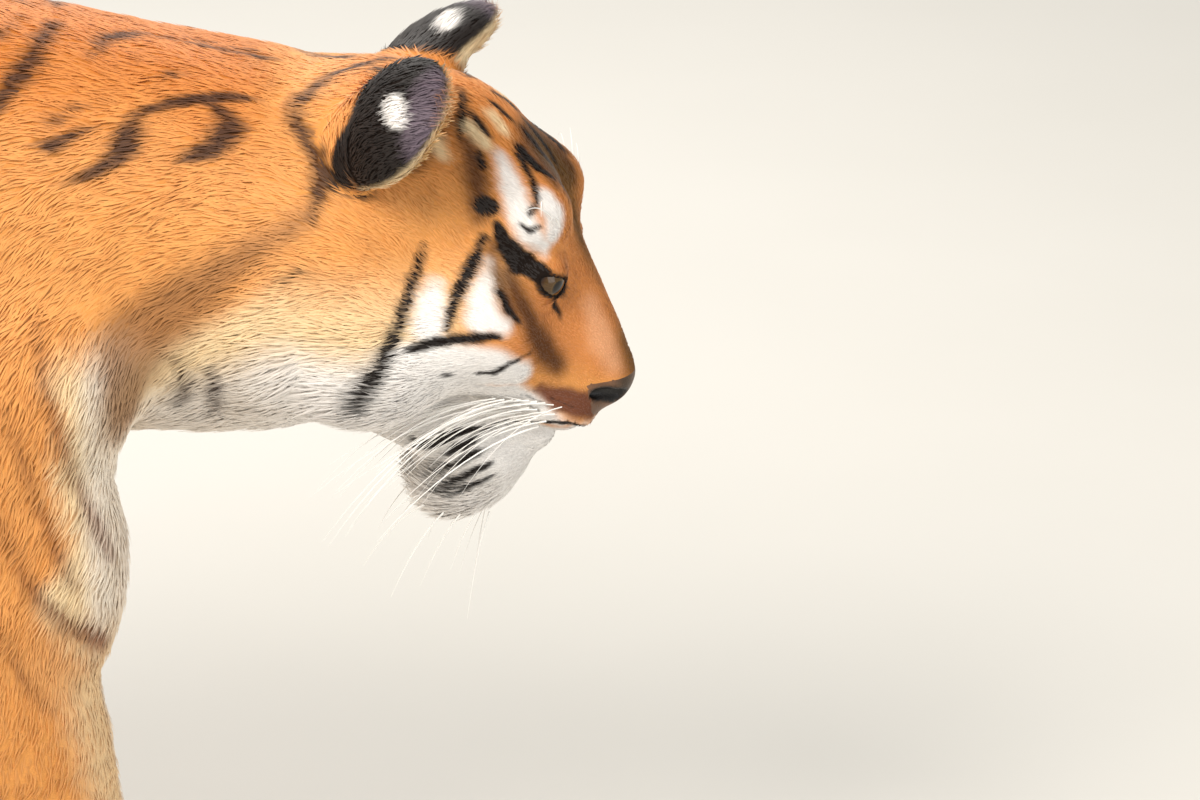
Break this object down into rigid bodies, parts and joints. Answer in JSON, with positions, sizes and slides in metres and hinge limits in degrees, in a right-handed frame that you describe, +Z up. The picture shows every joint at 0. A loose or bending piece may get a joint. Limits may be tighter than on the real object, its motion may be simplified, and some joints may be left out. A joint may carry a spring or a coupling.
{
  "type": "bengal tiger",
  "caption": "Life-size Bengal tiger walking with its head lowered and its mouth shut, whole animal with striped coat, tail and paws, standing on flat soles.",
  "frame": {"origin": "on the floor, at the middle of the box that holds the whole animal", "axes": "+X to the animal's front, +Y to its left, +Z up"},
  "size_m": [1.9318, 0.4663, 0.9522],
  "materials": {
    "orange_coat": "matte striped fur",
    "pale_coat": "matte white fur",
    "dark_coat": "matte black fur",
    "nose_leather": "damp satin skin",
    "eye": "wet gloss"
  },
  "bodies": {
    "root": {"neck": "orange_coat", "chest": "orange_coat", "hindquarters": "orange_coat", "tail_base": "orange_coat", "tail_middle": "orange_coat", "tail_tip": "dark_coat", "foreleg_right_upper": "orange_coat", "foreleg_right_lower": "orange_coat", "foreleg_right_paw": "orange_coat", "hindleg_right_thigh": "orange_coat", "hindleg_right_shank": "orange_coat", "hindleg_right_foot": "orange_coat", "hindleg_right_paw": "orange_coat", "foreleg_left_upper": "orange_coat", "foreleg_left_lower": "orange_coat", "foreleg_left_paw": "orange_coat", "hindleg_left_thigh": "orange_coat", "hindleg_left_shank": "orange_coat", "hindleg_left_foot": "orange_coat", "hindleg_left_paw": "orange_coat", "head": "orange_coat", "lower_jaw": "pale_coat", "nose": "nose_leather", "ear_right": "dark_coat", "ear_left": "dark_coat", "eye_right": "eye", "eye_left": "eye"}
  },
  "joints": []
}
